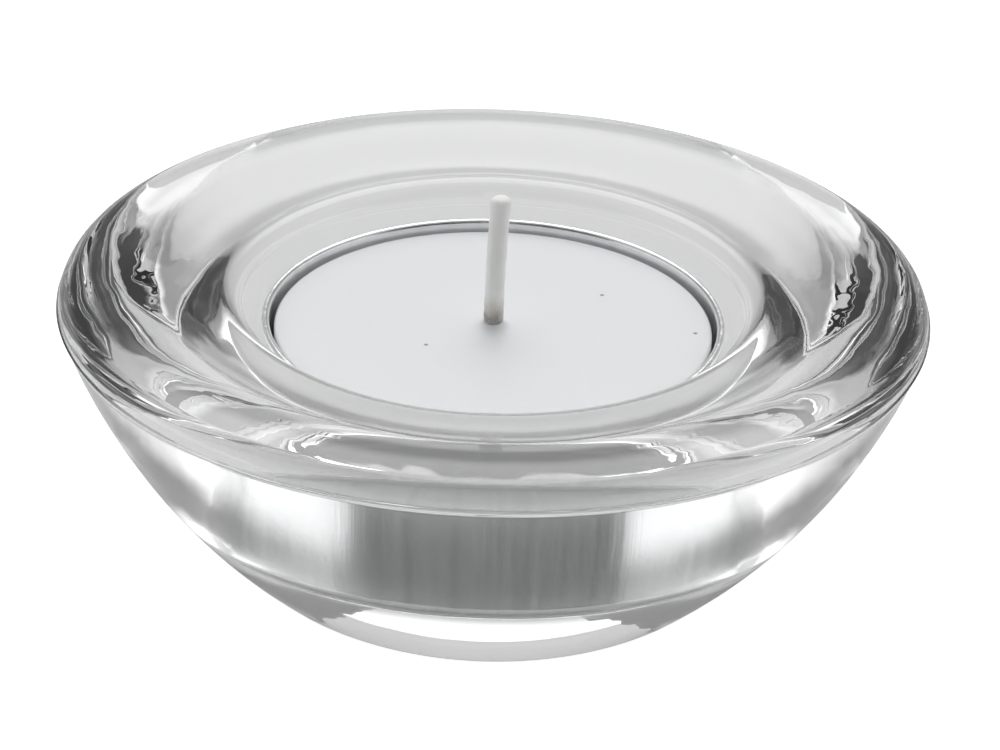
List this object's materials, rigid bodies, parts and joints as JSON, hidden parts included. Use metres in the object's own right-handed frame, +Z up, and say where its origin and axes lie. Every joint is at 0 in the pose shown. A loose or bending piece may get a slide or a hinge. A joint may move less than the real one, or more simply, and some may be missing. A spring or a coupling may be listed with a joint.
{
  "type": "tealight holder",
  "caption": "Round pressed-glass tealight holder with a thick rounded rim and a central pocket, holding a metal-cup tealight with white wax and a wick.",
  "frame": {"origin": "centre of the flat base", "axes": "+Z up along the wick, the axis of the dish; X and Y are free, as everything is round about Z"},
  "size_m": [0.072, 0.072, 0.0331],
  "materials": {
    "clear_glass": "clear pressed glass, fire-polished, with faint ripples and a fine mould line",
    "cup_aluminium": "thin drawn sheet with fine upright draw marks and a rolled rim",
    "candle_wax": "smooth white paraffin wax, slightly translucent",
    "cotton_wick": "braided cotton stiffened with wax",
    "tinplate": "stamped tinplate"
  },
  "bodies": {
    "holder": {"glass_holder": "clear_glass"},
    "tealight": {"tealight_cup": "cup_aluminium"},
    "candle": {"wax": "candle_wax", "wick": "cotton_wick", "wick_sustainer": "tinplate"}
  },
  "joints": [
    {"name": "tealight_lift", "type": "slide", "parent": "holder", "child": "tealight", "axis": [0, 0, 1], "range_m": [0, 0.03]},
    {"name": "candle_lift", "type": "slide", "parent": "tealight", "child": "candle", "axis": [0, 0, 1], "range_m": [0, 0.02]}
  ]
}
